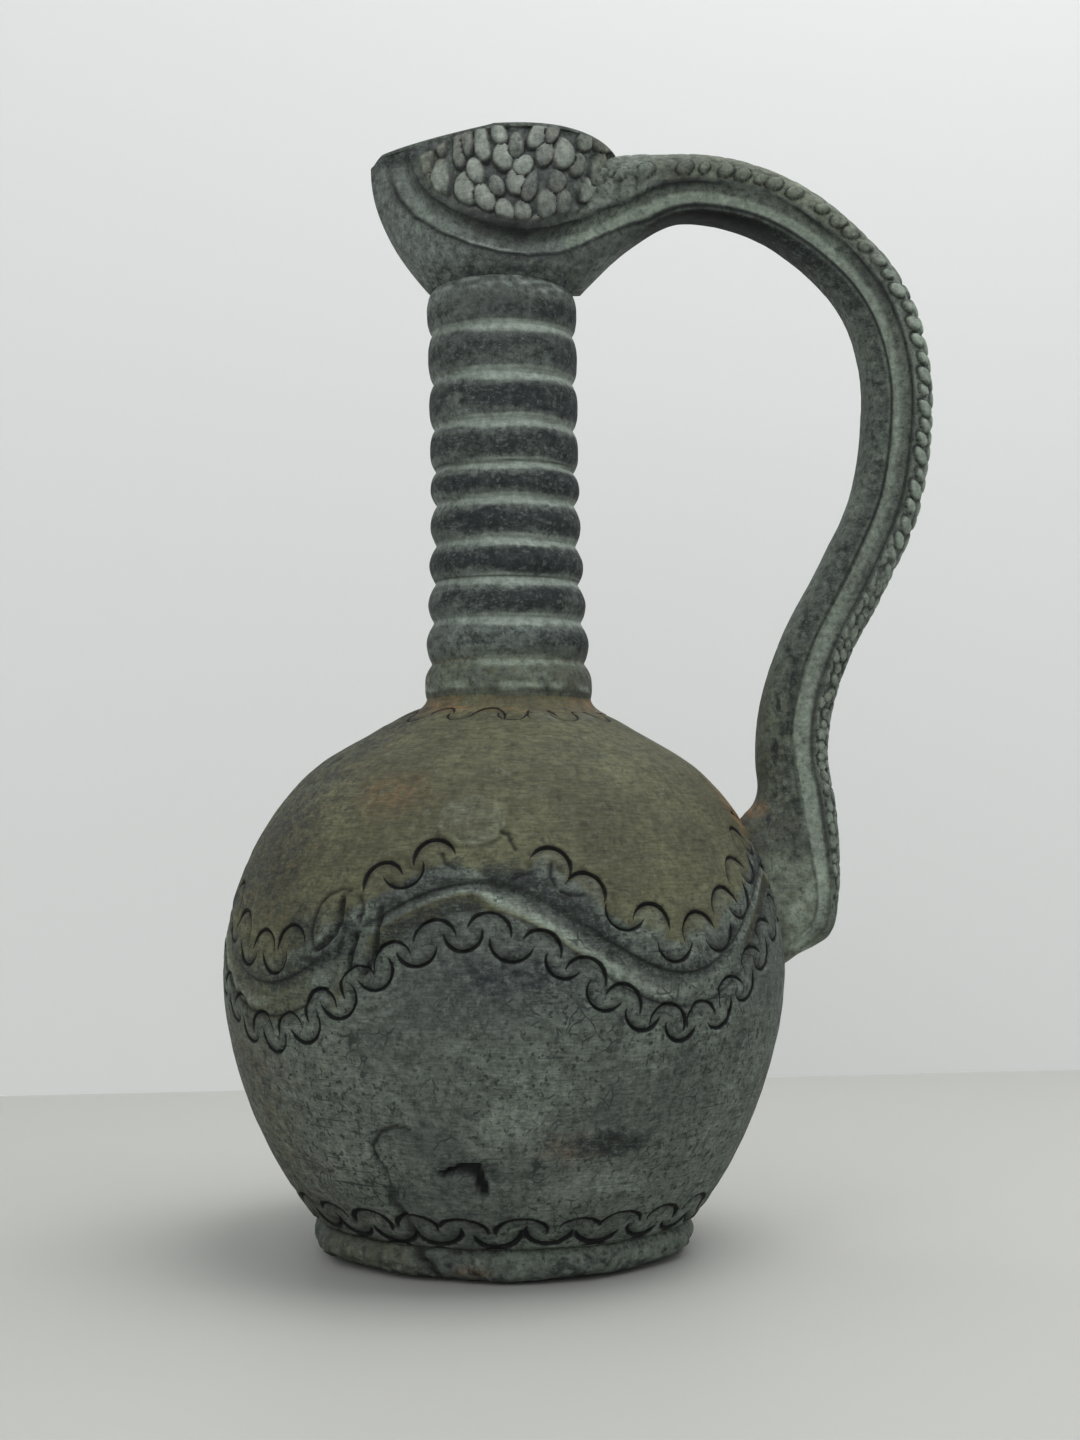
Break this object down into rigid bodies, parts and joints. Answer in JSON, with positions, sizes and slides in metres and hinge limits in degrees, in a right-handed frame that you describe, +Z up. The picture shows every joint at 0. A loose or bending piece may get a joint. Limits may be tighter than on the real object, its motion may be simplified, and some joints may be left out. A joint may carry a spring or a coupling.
{
  "type": "ceramic carafe",
  "caption": "Dry-glazed pottery carafe with a round belly on a slab foot, a ribbed neck, a leaf-shaped pouring head with a beak, and a tall S-shaped side handle.",
  "frame": {"origin": "Centre of the foot's flat underside, on the belly's axis.", "axes": "+Z up along the neck, +X towards the handle, -X towards the beak."},
  "size_m": [0.2056, 0.1622, 0.3209],
  "materials": {
    "glazed_clay": "matte",
    "fired_slip": "matte"
  },
  "bodies": {
    "root": {"foot_disc": "glazed_clay", "lower_bowl": "glazed_clay", "upper_dome": "glazed_clay", "neck_tube": "glazed_clay", "spout_head": "glazed_clay", "handle_strap": "glazed_clay", "foot_slip_ring": "fired_slip", "belly_slip_ring": "fired_slip", "neck_slip_ring": "fired_slip", "head_slip_ring": "fired_slip", "handle_top_slip_pad": "fired_slip", "handle_root_slip_pad": "fired_slip"}
  },
  "joints": []
}
